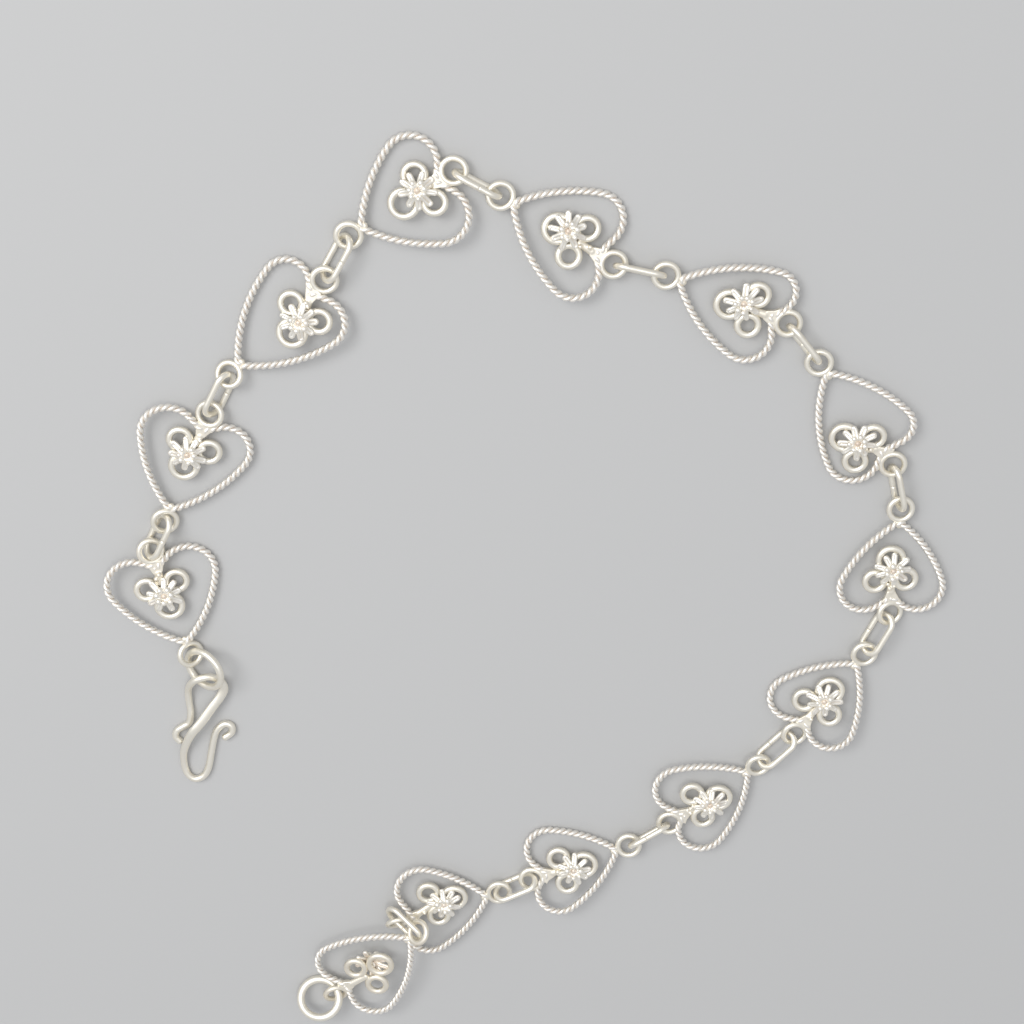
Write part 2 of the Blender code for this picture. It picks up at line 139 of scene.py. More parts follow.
EYE_RADIUS = (EYE_OUTER - EYE_WIRE) / 2
EYE_HEIGHT = LINK_WIRE + CLEARANCE + EYE_WIRE / 2
LINK_REACH = LINK_LENGTH - LINK_WIRE
LINK_SPREAD = LINK_WIDTH - LINK_WIRE

# How finely wires are drawn: points round a wire or a circle, and points along a curve
STRAND_SIDES = 8
PETAL_SIDES = 8
RING_SIDES = 12
HOOK_SIDES = 16                  # and those of the hook's ring and the end ring
CORE_RING_SIDES = 8
TWIST_STEPS = 14                 # in one full turn
RING_STEPS = 44
CORE_RING_STEPS = 20
LARGE_RING_STEPS = 96
LINK_END_STEPS = 14
LINK_STEP = 0.12
TIP_STEPS = 6
SIDE_STEPS = 24
LOBE_STEPS = 30
PETAL_CURVE_STEPS = 3
PETAL_END_STEPS = 6
HOOK_CURVE_STEPS = 8

# A cut wire end: its flat as a share of the wire, and how far it stands out in wire radii
WIRE_END_FLAT = 0.6
WIRE_END_BULGE = 0.36

# Tarnish and painted shade, from 0 for bright metal to 1 for the darkest crease
WIRE_END_TARNISH = 0.2
# partly tarnish in the twist's grooves and partly painted shade, where the strands face each other
CREASE_TARNISH_AND_SHADE = 0.30            # half way into the crease between two strands
# painted shade on the undersides of balls, rings and links
BALL_UNDERSIDE = 0.35
RING_UNDERSIDE = 0.30
LINK_UNDERSIDE = 0.25
CORE_RING_TARNISH = 0.5
CORE_TARNISH = 0.55
# painted shade in the groove between a petal's two wires, and on its underside
PETAL_INSIDE = 0.25
PETAL_UNDERSIDE = 0.4
PETAL_ROOT = 0.35                # at the flower's middle, fading out over PETAL_ROOT_REACH
PETAL_ROOT_REACH = 0.9

# First heart's tip eye over the surface, and the other pieces' places, as in the part's source
FLOOR_LIFT = -0.005              # where the surface lies that heights are measured from
CHAIN_START = Vector((-27.478, -3.203, EYE_HEIGHT + FLOOR_LIFT))
BUNCHED_EYE_HEIGHT = 0.86
BUNCHED_LINK_OFFSET = Vector((0.56, 0.33, 0.76))
BUNCHED_LINK_TURN = (-39.0, -22.0, 37.0)
LAST_TIP_OFFSET = Vector((1.75, 0.06, 1.54))
LAST_CLEFT_HEIGHT = 0.97
LAST_ROLL = 3.0
HOOK_RING_OFFSET = Vector((1.10, -1.17, 0.0))
HOOK_RING_TOWARD = 14.6
HOOK_RING_TILT = 35.3
HOOK_RING_CUT = 220.0            # from its lifted side
HOOK_TOP_OFFSET = Vector((1.0, -1.95, 0.0))
END_RING_OFFSET = Vector((-1.43, -0.44, 0.0))
END_RING_TOWARD = -83.0
END_RING_TILT = 25.8

# Camera of the photograph: what it looks at, how far off, how far it leans from overhead and
# toward which side
CAMERA_AIM = Vector((-1.308, 9.004, 0.0))
CAMERA_DISTANCE = 158.35
CAMERA_LEAN = 24.77
CAMERA_SIDE = 183.4
CAMERA_LENS = 69.87
CAMERA_NEAR = 5.0

# The studio, in metres: a pale paper floor, an even sky and two soft lamps
FLOOR_HALF = 0.6
FLOOR_COLOUR = (0.50, 0.50, 0.495, 1.0)
FLOOR_ROUGHNESS = 0.8
SKY_COLOUR = (0.96, 0.97, 1.0, 1.0)
SKY_STRENGTH = 0.66
Lamp = namedtuple("Lamp", "name side height distance size energy")
LAMPS = [
    Lamp("key", 135.0, 50.0, 0.40, 0.20, 0.8),
    Lamp("top", 60.0, 80.0, 0.50, 0.12, 0.3),
]

# The silver's surface. Scales are in patches a metre, depths in metres.
CLOUD_SCALE = 900.0
CLOUD_DETAIL = 3.0
CLOUD_RANGE = (0.35, 0.75)
CLOUD_TARNISH = 0.30
BRIGHT_BELOW = 0.10
DARK_ABOVE = 0.95
# how much rougher the metal grows with its tarnish and painted shade
TARNISH_AND_SHADE_ROUGHENS = 0.25
MARK_SCALE = 6000.0
MARK_DETAIL = 4.0
MARK_DEPTH = 0.00003
Silver = namedtuple("Silver", "name bright dark roughness marks")
SILVERS = {
    "twist": Silver("silver_twisted", (0.96, 0.93, 0.87), (0.80, 0.74, 0.68), 0.46, 0.25),
    "wire": Silver("silver_wire", (0.95, 0.91, 0.81), (0.72, 0.64, 0.52), 0.42, 0.20),
    "solder": Silver("silver_solder", (0.94, 0.89, 0.78), (0.66, 0.56, 0.42), 0.46, 0.25),
    "flower": Silver("silver_flower", (0.96, 0.93, 0.86), (0.72, 0.60, 0.50), 0.46, 0.20),
}

# Each heart: heading from tip to cleft from +X, its pitch as a share of HEART_PITCH, the width of its
# right and left side as shares of HALF_WIDTH, how far back each lobe lies as a share of LOBE_SETBACK,
# the rings' place across and along as shares of HALF_WIDTH and their turn, its roll as a share of
# the angle at which a lobe meets the surface, the turn of its two eyes, and the flower's place from
# the middle between the upper rings as shares of HALF_WIDTH.
Heart = namedtuple(
    "Heart",
    "heading pitch right left right_back left_back across along turn roll tip_turn cleft_turn"
    " flower_across flower_along",
)
HEARTS = [
    Heart(105.5, 0.968, 1.05, 1.05, 1.00, 0.99, -0.04, -0.02, 1, 0.7, 26, 12, -0.01, -0.18),
    Heart(66.0, 0.993, 0.98, 1.08, 0.96, 1.08, -0.04, 0.02, -4, 0.5, 12, -14, -0.05, -0.18),
    Heart(45.0, 1.064, 0.94, 0.86, 1.05, 0.87, 0.17, 0.03, 12, -0.9, -14, 10, 0.00, -0.19),
    Heart(32.0, 0.923, 1.05, 0.99, 1.03, 0.95, 0.00, 0.11, 4, -0.9, 10, 0, -0.06, -0.10),
    Heart(-32.0, 1.000, 0.96, 1.00, 0.89, 1.17, -0.01, -0.05, -2, -0.9, 0, 0, -0.08, -0.28),
    Heart(-22.0, 1.020, 0.97, 0.83, 1.01, 0.82, 0.01, 0.01, 7, 0.1, 0, 0, -0.11, -0.22),
    Heart(-53.0, 1.068, 1.01, 0.81, 0.92, 1.16, 0.26, 0.13, 23, 0.75, 0, 0, -0.07, -0.21),
    Heart(-90.5, 0.929, 1.03, 0.98, 0.94, 0.90, 0.06, 0.00, 4, -0.15, 0, -12, -0.03, -0.25),
    Heart(-125.0, 0.922, 0.97, 0.94, 1.02, 0.88, 0.01, -0.01, 4, 0.9, -12, -14, -0.01, -0.23),
    Heart(-142.0, 0.926, 1.01, 1.00, 1.03, 0.72, -0.01, 0.02, -14, 0.0, -14, 0, -0.03, -0.25),
    Heart(-158.0, 0.896, 0.95, 0.94, 0.96, 0.71, -0.05, 0.04, -3, 0.9, 0, 0, -0.01, -0.23),
    Heart(-161.0, 0.930, 1.10, 0.92, 1.23, 0.87, 0.19, -0.13, 2, 0.0, 0, -42, -0.02, -0.23),
    Heart(-134.5, 1.070, 1.00, 0.96, 1.00, 1.10, 0.10, -0.14, -3, 0.0, 48, -27, -0.10, -0.28),
]

# Each link between two hearts that lie flat: its heading from +X, the eyes' distance as a share of
# LINK_REACH, and its roll from lying flat
Link = namedtuple("Link", "heading span roll")
LINKS = [
    Link(63.5, 0.79, -52),
    Link(63.0, 0.99, 48),
    Link(61.0, 1.06, -56),
    Link(-28.5, 1.06, -90),
    Link(-12.5, 1.10, 72),
    Link(-51.0, 1.11, 76),
    Link(-76.0, 1.08, 75),
    Link(-115.0, 1.13, 50),
    Link(-133.0, 1.13, 48),
    Link(-146.5, 1.11, -66),
    Link(-154.0, 0.84, 65),
]

# The hook's middle line from its curled end over its top and its crossing to its free end: across
# and along as shares of HOOK_LENGTH, height as a share of the wire and its clearance
HOOK_LINE = [
    (-0.234, -0.640, 0.00), (-0.268, -0.591, 0.00), (-0.253, -0.536, 0.00), (-0.200, -0.498, 0.00),
    (-0.153, -0.463, 0.00), (-0.135, -0.370, 0.00), (-0.142, -0.272, 0.00), (-0.139, -0.160, 0.35),
    (-0.112, -0.078, 1.00), (-0.054, -0.015, 1.53), (0.040, 0.005, 1.40), (0.114, -0.041, 0.95),
    (0.145, -0.118, 0.60), (0.116, -0.200, 0.60), (0.037, -0.305, 0.85), (-0.050, -0.424, 1.15),
    (-0.120, -0.509, 1.20), (-0.174, -0.615, 0.75), (-0.212, -0.736, 0.25), (-0.215, -0.868, 0.00),
    (-0.188, -0.954, 0.00), (-0.133, -0.992, 0.00), (-0.067, -0.964, 0.00), (-0.024, -0.885, 0.00),
    (0.006, -0.748, 0.00), (0.038, -0.603, 0.00), (0.072, -0.524, 0.00), (0.130, -0.479, 0.00),
    (0.180, -0.498, 0.00), (0.180, -0.558, 0.00), (0.118, -0.609, 0.00),
]

# The hook's hammered flat: where it begins and ends, counted in points of the line, how many points
# it takes to come and go, and how much lower and wider it makes the wire
HAMMER_FROM = 10.5
HAMMER_FADES_IN = 2.0
HAMMER_TO = 18.5
HAMMER_FADES_OUT = 3.0
HAMMER_LOWER = 0.22
HAMMER_WIDER = 0.38


class Shape:
    """Points, faces and each point's tarnish and painted shade."""

    def __init__(self):
        self.points = []
        self.faces = []
        self.tarnish_and_shade = []

    def tube(self, line, radius, sides, closed=False, stain_and_shade=None, flatten=None):
        """A round wire along a line. A point's tarnish and painted shade come from a function of its
        index on the line and the unit vector away from the wire's middle, and its height and width from
        flatten."""
        start = len(self.points)
        count = len(line)
        up = Vector((0.0, 0.0, 1.0))
        for index, point in enumerate(line):
            before = line[index - 1] if closed or index > 0 else point * 2 - line[1]
            after = line[(index + 1) % count] if closed or index < count - 1 else point * 2 - line[-2]
            tangent = (after - before).normalized()
            up = (up - tangent * up.dot(tangent)).normalized()
            across = tangent.cross(up)
            tall, wide = flatten(index) if flatten else (1.0, 1.0)
            for side in range(sides):
                angle = 2 * pi * side / sides
                away = up * cos(angle) + across * sin(angle)
                offset = up * (tall * cos(angle)) + across * (wide * sin(angle))
                self.points.append(point + radius * offset)
                self.tarnish_and_shade.append(stain_and_shade(index, away) if stain_and_shade else 0.0)
        spans = count if closed else count - 1
        for span in range(spans):
            near = start + span * sides
            far = start + (span + 1) % count * sides
            for side in range(sides):
                other = (side + 1) % sides
                self.faces.append((near + side, near + other, far + other, far + side))
        if not closed:
            bulge = radius * WIRE_END_BULGE
            last = start + (count - 1) * sides
            self.cap(start, sides, line[0], (line[0] - line[1]).normalized() * bulge, True)
            self.cap(last, sides, line[-1], (line[-1] - line[-2]).normalized() * bulge, False)

    def cap(self, start, sides, centre, outward, first):
        """A slightly rounded wire end."""
        ring = len(self.points)
        for side in range(sides):
            rim = self.points[start + side]
            self.points.append(centre + (rim - centre) * WIRE_END_FLAT + outward)
            self.tarnish_and_shade.append(WIRE_END_TARNISH)
        for side in range(sides):
            other = (side + 1) % sides
            face = (start + side, ring + side, ring + other, start + other)
            self.faces.append(face if first else face[::-1])
        last = tuple(range(ring, ring + sides))
        self.faces.append(last[::-1] if first else last)

    def ball(self, centre, radius, rings=8, sides=12, flatness=1.0, stain_and_shade=0.0):
        """A ball, or a flatter one, with painted shade that makes it darker below."""
        start = len(self.points)
        for ring in range(1, rings):
            down = pi * ring / rings
            for side in range(sides):
                angle = 2 * pi * side / sides
                away = Vector((sin(down) * cos(angle), sin(down) * sin(angle), cos(down)))
                away.z *= flatness
                self.points.append(centre + away * radius)
                self.tarnish_and_shade.append(stain_and_shade + BALL_UNDERSIDE * max(0.0, -cos(down)))
        top = len(self.points)
        pole = Vector((0.0, 0.0, radius * flatness))
        self.points += [centre + pole, centre - pole]
        self.tarnish_and_shade += [stain_and_shade, stain_and_shade + BALL_UNDERSIDE]
        for ring in range(rings - 2):
            for side in range(sides):
                other = (side + 1) % sides
                near = start + ring * sides
                far = near + sides
                self.faces.append((near + side, far + side, far + other, near + other))
        last = start + (rings - 2) * sides
        for side in range(sides):
            other = (side + 1) % sides
            self.faces.append((top, start + side, start + other))
            self.faces.append((top + 1, last + other, last + side))

    def mesh(self, name):
        mesh = bpy.data.meshes.new(name)
        mesh.from_pydata([tuple(point) for point in self.points], [], self.faces)
        mesh.attributes.new("tarnish_and_shade", "FLOAT", "POINT").data.foreach_set("value", self.tarnish_and_shade)
        mesh.polygons.foreach_set("use_smooth", [True] * len(mesh.polygons))
        mesh.update()
        return mesh


def circle_line(radius, steps):
    return [
        Vector((radius * cos(2 * pi * step / steps), radius * sin(2 * pi * step / steps), 0.0))
        for step in range(steps)
    ]


def arc_points(centre_x, centre_y, radius, start, end, steps):
    return [
        (
            centre_x + radius * cos(start + (end - start) * step / steps),
            centre_y + radius * sin(start + (end - start) * step / steps),
        )
        for step in range(steps + 1)
    ]


def evenly(line, spacing):
    """The same line with its points a constant spacing apart."""
    lengths = [0.0]
    for before, after in zip(line, line[1:]):
        lengths.append(lengths[-1] + (after - before).length)
    count = max(2, round(lengths[-1] / spacing))
    points = []
    at = 0
    for step in range(count + 1):
        goal = lengths[-1] * step / count
        while at < len(line) - 2 and lengths[at + 1] < goal:
            at += 1
        share = (goal - lengths[at]) / (lengths[at + 1] - lengths[at])
        points.append(line[at].lerp(line[at + 1], min(max(share, 0.0), 1.0)))
    return points


def smooth_curve(knots, steps):
    """A curve through all the knots, with so many points between two of them."""
    ends = [knots[0] * 2 - knots[1], *knots, knots[-1] * 2 - knots[-2]]
    points = []
    for index in range(1, len(ends) - 2):
        a, b, c, d = ends[index - 1 : index + 3]
        square = a * 2 - b * 5 + c * 4 - d
        cube = b * 3 - a - c * 3 + d
        for step in range(steps):
            t = step / steps
            points.append((b * 2 + (c - a) * t + square * t**2 + cube * t**3) / 2)
    points.append(knots[-1])
    return points


def half_outline(pitch, half_width, setback):
    """Right half of the frame's middle line: tip arc, long side, lobe and the cleft's point."""
    lobe_radius = LOBE_SHARE * half_width
    lobe_x = half_width - lobe_radius
    lobe_y = pitch - setback
    tip_y = EYE_OUTER / 2 + FRAME_WIRE / 2 - SOLDER_LAP + TIP_RADIUS
    lobe_reach = SIDE_RADIUS - lobe_radius
    tip_reach = SIDE_RADIUS - TIP_RADIUS
    apart = hypot(lobe_x, lobe_y - tip_y)
    along = (lobe_reach**2 - tip_reach**2 + apart**2) / (2 * apart)
    off = sqrt(lobe_reach**2 - along**2)
    down_x = -lobe_x / apart
    down_y = (tip_y - lobe_y) / apart
    side_x = lobe_x + along * down_x + off * down_y
    side_y = lobe_y + along * down_y - off * down_x
    tip_angle = atan2(tip_y - side_y, -side_x)
    lobe_angle = atan2(lobe_y - side_y, lobe_x - side_x)
    cleft_y = pitch - EYE_OUTER / 2 - FRAME_WIRE / 2
    cleft_reach = hypot(lobe_x, cleft_y - lobe_y)
    lobe_end = atan2(cleft_y - lobe_y, -lobe_x) - acos(lobe_radius / cleft_reach)
    points = arc_points(0.0, tip_y, TIP_RADIUS, -pi / 2, tip_angle, TIP_STEPS)
    points += arc_points(side_x, side_y, SIDE_RADIUS, tip_angle, lobe_angle, SIDE_STEPS)[1:]
    points += arc_points(lobe_x, lobe_y, lobe_radius, lobe_angle, lobe_end, LOBE_STEPS)[1:]
    points.append((CLEFT_HALF_GAP, cleft_y))
    return points


def frame_line(heart):
    """The frame's middle line from the cleft's left side round the tip to its right side."""
    pitch = heart.pitch * HEART_PITCH
    right = half_outline(pitch, heart.right * HALF_WIDTH, heart.right_back * LOBE_SETBACK)
    left = half_outline(pitch, heart.left * HALF_WIDTH, heart.left_back * LOBE_SETBACK)
    outline = [(-x, y) for x, y in left[:0:-1]] + right
    return [Vector((x, y, 0.0)) for x, y in outline]


def link_line():
    """Middle line of an oval link from its cut on one long side round to the cut again."""
    end_radius = LINK_SPREAD / 2
    straight = (LINK_REACH - LINK_SPREAD) / 2
    right = arc_points(straight, 0.0, end_radius, -pi / 2, pi / 2, LINK_END_STEPS)
    left = arc_points(-straight, 0.0, end_radius, pi / 2, 3 * pi / 2, LINK_END_STEPS)
    first = (LINK_CUT_PLACE + CUT_HALF_GAP, -end_radius)
    last = (LINK_CUT_PLACE - CUT_HALF_GAP, -end_radius)
    points = [first, *right, *left, last]
    return evenly([Vector((x, y, 0.0)) for x, y in points], LINK_STEP)


def add_twist(shape, line, phase):
    """Two strands wound round each other along a line that lies in its own plane."""
    line = evenly(line, TWIST_PITCH / TWIST_STEPS)
    normals = []
    for index in range(len(line)):
        along = line[min(index + 1, len(line) - 1)] - line[max(index - 1, 0)]
        normals.append(Vector((along.y, -along.x, 0.0)).normalized())
    spacing = (line[1] - line[0]).length
    for strand in range(2):
        outward = []
        for index, normal in enumerate(normals):
            angle = phase + pi * strand + 2 * pi * index * spacing / TWIST_PITCH
            outward.append(normal * cos(angle) + Vector((0.0, 0.0, sin(angle))))

        # darker on the side that faces the other strand: partly tarnish in the groove, partly painted
        # shade
        def crease(index, away, outward=outward):
            return min(max(CREASE_TARNISH_AND_SHADE - away.dot(outward[index]), 0.0), 1.0)

        path = [point + away * STRAND_OFFSET for point, away in zip(line, outward)]
        shape.tube(path, STRAND_RADIUS, STRAND_SIDES, stain_and_shade=crease)


def darker_below(amount, everywhere=0.0):
    """Painted shade on a wire, growing toward its underside, over a tarnish that is even all round."""

    def underside(index, away):
        return everywhere + amount * max(0.0, -away.z)

    return underside


def add_ring(shape, radius, wire, place, steps=RING_STEPS, sides=RING_SIDES, stain_and_shade=0.0):
    line = [place @ point for point in circle_line(radius, steps)]
    # painted shade toward the ring's underside, over its even tarnish
    underside = darker_below(RING_UNDERSIDE, stain_and_shade)
    shape.tube(line, wire / 2, sides, closed=True, stain_and_shade=underside)


def add_petal(shape, centre, angle, reach, width, crest, end):
    """One loop of wire: up from the flower's middle over a crest, out, round its end and back."""
    side = [
        (knot.along, knot.spread, crest * knot.crest + end * knot.end + knot.rise)
        for knot in PETAL_SIDE
    ]
    side.append((reach - PETAL_BEND_SHARE * width, 1.0, end + PETAL_END_RISE))
    points = [(along, -width * share, height) for along, share, height in side]
    for step in range(1, PETAL_END_STEPS):
        turn = -pi / 2 + pi * step / PETAL_END_STEPS
        points.append((reach - width + width * cos(turn), width * sin(turn), end))
    for along, share, height in reversed(side):
        points.append((along, width * share, height - PETAL_RETURN_DROP))
    radial = Vector((cos(angle), sin(angle), 0.0))
    lateral = Vector((-sin(angle), cos(angle), 0.0))
    line = [
        centre + radial * along + lateral * across + Vector((0.0, 0.0, height))
        for along, across, height in points
    ]
    line = smooth_curve(line, PETAL_CURVE_STEPS)

    # painted shade on the side facing the petal's other wire and below, over a tarnish fading out from
    # the flower's middle
    def hollow(index, away):
        inside = away.dot(lateral) if index < len(line) / 2 else -away.dot(lateral)
        root = PETAL_ROOT * max(0.0, 1.0 - (line[index] - centre).length / PETAL_ROOT_REACH)
        return min(max(PETAL_INSIDE * inside - PETAL_UNDERSIDE * away.z + root, 0.0), 1.0)

    shape.tube(line, PETAL_WIRE / 2, PETAL_SIDES, stain_and_shade=hollow)


def flower_shape(heart, rings_place, chance):
    """Petals round a middle of a small ring and a grain, with a ring of grains over them."""
    shape = Shape()
    offset = Vector((heart.flower_across * HALF_WIDTH, heart.flower_along * HALF_WIDTH, 0.0))
    centre = rings_place @ offset
    first = chance.uniform(0, 2 * pi)
    for petal in range(PETALS):
        angle = first + 2 * pi * petal / PETALS + chance.uniform(*PETAL_TURN_VARIES)
        reach = PETAL_REACH + chance.uniform(*PETAL_REACH_VARIES)
        width = PETAL_HALF_WIDTH + chance.uniform(*PETAL_WIDTH_VARIES)
        crest = PETAL_CREST + chance.uniform(*PETAL_CREST_VARIES)
        end = PETAL_END + chance.uniform(*PETAL_END_VARIES)
        add_petal(shape, centre, angle, reach, width, crest, end)
    core_ring = Matrix.Translation(centre + Vector((0.0, 0.0, CORE_RING_HEIGHT)))
    add_ring(
        shape, CORE_RING_RADIUS, CORE_RING_WIRE, core_ring,
        CORE_RING_STEPS, CORE_RING_SIDES, CORE_RING_TARNISH,
    )
    shape.ball(centre + Vector((0.0, 0.0, CORE_HEIGHT)), CORE_RADIUS, stain_and_shade=CORE_TARNISH)
    for grain in range(GRAINS):
        angle = first + 2 * pi * (grain + 0.5) / GRAINS + chance.uniform(*GRAIN_TURN_VARIES)
        reach = GRAIN_REACH * chance.uniform(*GRAIN_REACH_SHARES)
        height = PETAL_CREST + chance.uniform(*GRAIN_RISE)
        spot = Vector((reach * cos(angle), reach * sin(angle), height))
        shape.ball(centre + spot, GRAIN_RADIUS * chance.uniform(*GRAIN_RADIUS_SHARES))
    return shape


def rings_shape(heart, rings_place):
    """The two eyes and the trefoil of plain rings."""
    shape = Shape()
    tip_eye = Matrix.Rotation(radians(heart.tip_turn), 4, "Y")
    cleft = Matrix.Translation((0.0, heart.pitch * HEART_PITCH, 0.0))
    cleft_eye = cleft @ Matrix.Rotation(radians(heart.cleft_turn), 4, "Y")
    add_ring(shape, EYE_RADIUS, EYE_WIRE, tip_eye)
    add_ring(shape, EYE_RADIUS, EYE_WIRE, cleft_eye)
    upper = (UPPER_RING_OUTER - RING_WIRE) / 2
    lower = (LOWER_RING_OUTER - RING_WIRE) / 2
    for side in (-1, 1):
        beside = rings_place @ Matrix.Translation((side * RING_SPREAD, 0.0, 0.0))
        add_ring(shape, upper, RING_WIRE, beside)
    below = rings_place @ Matrix.Translation((0.0, -RING_DROP, LOWER_RING_LIFT))
    add_ring(shape, lower, RING_WIRE, below)
    return shape


def add_sheet(shape, outline, bottom, top):
    """A flat sheet; outline runs counter-clockwise seen from above."""
    start = len(shape.points)
    count = len(outline)
    for height in (bottom, top):
        shape.points += [Vector((x, y, height)) for x, y in outline]
        shape.tarnish_and_shade += [0.0] * count
    shape.faces.append(tuple(start + index for index in reversed(range(count))))
    shape.faces.append(tuple(start + count + index for index in range(count)))
    for index in range(count):
        other = (index + 1) % count
        shape.faces.append((start + index, start + other, start + count + other, start + count + index))


def solder_shape(pitch, across, upper_y, chance):
    """Solder at the tip, and the plate, stem and granules in the cleft, before they have flowed."""
    shape = Shape()

    def run(start, end, first, last, steps):
        for step in range(steps + 1):
            share = step / steps
            radius = first + (last - first) * share
            shape.ball(start.lerp(end, share), radius, 6, 10, SOLDER_FLATNESS)

    tip = Vector((0.0, EYE_OUTER / 2, 0.0))
    aside = Vector((TIP_SOLDER_SPREAD, 0.0, 0.0))
    run(tip - aside, tip + aside, TIP_SOLDER_RADIUS, TIP_SOLDER_RADIUS, 3)
    tip_end = tip + Vector((0.0, TIP_SOLDER_LENGTH, 0.0))
    run(tip, tip_end, TIP_SOLDER_RADIUS, TIP_SOLDER_END_RADIUS, 2)
    edge = pitch - EYE_RADIUS
    waist = Vector((STEM_LEAN * across, edge - PLATE_DEPTH, 0.0))
    stem = Vector((across, upper_y + STEM_LAP, 0.0))
    half_plate = [(x, edge + y) for x, y in (PLATE_SHOULDER, PLATE_CORNER, PLATE_EDGE)]
    shoulder, corner, top = [(-x, y) for x, y in half_plate]
    waist_left = (waist.x - WAIST_HALF_WIDTH, waist.y)
    waist_right = (waist.x + WAIST_HALF_WIDTH, waist.y)
    plate = [corner, shoulder, waist_left, waist_right, *half_plate, top]
    add_sheet(shape, plate, PLATE_BOTTOM, PLATE_TOP)
    run(waist, stem, WAIST_HALF_WIDTH, STEM_END_RADIUS, 7)
    for side in (-1, 1):
        arm = Vector((side * STEM_ARM.x, STEM_ARM.y, 0.0))
        run(stem, stem + arm, STEM_ARM_RADIUS, STEM_ARM_END_RADIUS, 4)
    for _ in range(chance.choice(GRANULE_COUNTS)):
        spot = waist.lerp(stem, chance.uniform(*GRANULE_PLACES))
        side = Vector((chance.uniform(*GRANULE_SIDES), 0.0, GRANULE_HEIGHT))
        shape.ball(spot + side, chance.uniform(*GRANULE_RADII))
    return shape


def melted(shape):
    """One smooth skin over all of a shape's pieces, as solder flows together. It is drawn a little
    larger while it is made, so that the skin's cells are a tenth of a unit."""
    cell = 0.1
    larger = cell / SOLDER_VOXEL
    mesh = shape.mesh("solder")
    mesh.transform(Matrix.Scale(larger, 4))
    raw = bpy.data.objects.new("solder", mesh)
    bpy.context.scene.collection.objects.link(raw)
    skin = raw.modifiers.new("skin", "REMESH")
    skin.mode = "VOXEL"
    skin.voxel_size = cell
    skin.use_smooth_shade = True
    soften = raw.modifiers.new("soften", "SMOOTH")
    soften.iterations = SOLDER_SOFTENING
    bpy.context.view_layer.update()
    graph = bpy.context.evaluated_depsgraph_get()
    melt = bpy.data.meshes.new_from_object(raw.evaluated_get(graph))
    bpy.data.objects.remove(raw)
    melt.transform(Matrix.Scale(1 / larger, 4))
    return melt


def add_piece(name, mesh, place, material, node):
    """Put a mesh made in millimetres where it belongs, in metres, in its CAD node's stead."""
    mesh.transform(Matrix.Scale(MM, 4) @ place)
    mesh.materials.clear()
    mesh.materials.append(material)
    piece = bpy.data.objects.new(name, mesh)
    bpy.context.scene.collection.objects.link(piece)
    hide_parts(node)
    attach(piece, "root")


def silver(look):
    """Worn silver: warm tarnish and painted shade in creases and undersides, faint cloudy patches and a
    fine drawn grain.
    """
    material = bpy.data.materials.new(look.name)
    material.use_nodes = True
    nodes = material.node_tree.nodes
    links = material.node_tree.links
    shader = nodes["Principled BSDF"]
    shader.inputs["Metallic"].default_value = 1.0
    place = nodes.new("ShaderNodeTexCoord")
    clouds = nodes.new("ShaderNodeTexNoise")
    clouds.inputs["Scale"].default_value = CLOUD_SCALE
    clouds.inputs["Detail"].default_value = CLOUD_DETAIL
    links.new(place.outputs["Object"], clouds.inputs["Vector"])
    tarnish_and_shade = nodes.new("ShaderNodeAttribute")
    tarnish_and_shade.attribute_name = "tarnish_and_shade"
    spread = nodes.new("ShaderNodeMapRange")
    spread.inputs["From Min"].default_value = CLOUD_RANGE[0]
    spread.inputs["From Max"].default_value = CLOUD_RANGE[1]
    spread.inputs["To Min"].default_value = 0.0
    spread.inputs["To Max"].default_value = CLOUD_TARNISH
    links.new(clouds.outputs["Fac"], spread.inputs["Value"])
    total = nodes.new("ShaderNodeMath")
    total.operation = "ADD"
    total.use_clamp = True
    links.new(tarnish_and_shade.outputs["Fac"], total.inputs[0])
    links.new(spread.outputs["Result"], total.inputs[1])
    ramp = nodes.new("ShaderNodeValToRGB")
    ramp.color_ramp.elements[0].position = BRIGHT_BELOW
    ramp.color_ramp.elements[0].color = (*look.bright, 1.0)
    ramp.color_ramp.elements[1].position = DARK_ABOVE
    ramp.color_ramp.elements[1].color = (*look.dark, 1.0)
    links.new(total.outputs["Value"], ramp.inputs["Fac"])
    links.new(ramp.outputs["Color"], shader.inputs["Base Color"])
    rough = nodes.new("ShaderNodeMapRange")
    rough.inputs["To Min"].default_value = look.roughness
    rough.inputs["To Max"].default_value = look.roughness + TARNISH_AND_SHADE_ROUGHENS
    links.new(total.outputs["Value"], rough.inputs["Value"])
    links.new(rough.outputs["Result"], shader.inputs["Roughness"])
    marks = nodes.new("ShaderNodeTexNoise")
    marks.inputs["Scale"].default_value = MARK_SCALE
    marks.inputs["Detail"].default_value = MARK_DETAIL
    links.new(place.outputs["Object"], marks.inputs["Vector"])
    bump = nodes.new("ShaderNodeBump")
    bump.inputs["Strength"].default_value = look.marks
    bump.inputs["Distance"].default_value = MARK_DEPTH
    links.new(marks.outputs["Fac"], bump.inputs["Height"])
    links.new(bump.outputs["Normal"], shader.inputs["Normal"])
    return material


